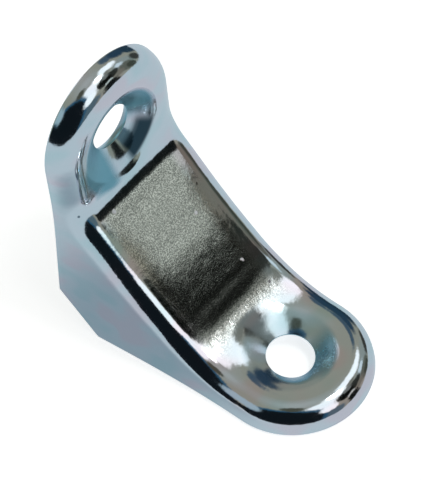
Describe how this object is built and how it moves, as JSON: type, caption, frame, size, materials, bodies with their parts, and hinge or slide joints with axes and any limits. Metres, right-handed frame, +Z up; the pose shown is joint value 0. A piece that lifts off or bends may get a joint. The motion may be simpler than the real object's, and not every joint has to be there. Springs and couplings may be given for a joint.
{
  "type": "corner mounting bracket",
  "caption": "Pressed steel corner bracket: a slanted panel between rounded ears with dished screw holes, hollow and open at the back.",
  "frame": {"origin": "middle of the bracket's footprint on the plane of the lower mounting face", "axes": "+X out along the lower leg, +Z up along the upper leg and out of the lower mounting face, +Y across the width"},
  "size_m": [0.03, 0.0182, 0.03],
  "materials": {
    "zinc_plated_steel": "bright zinc plate with a pale blue passivation, grainy on the panel and polished on the rims"
  },
  "bodies": {
    "root": {"bracket": "zinc_plated_steel"}
  },
  "joints": []
}
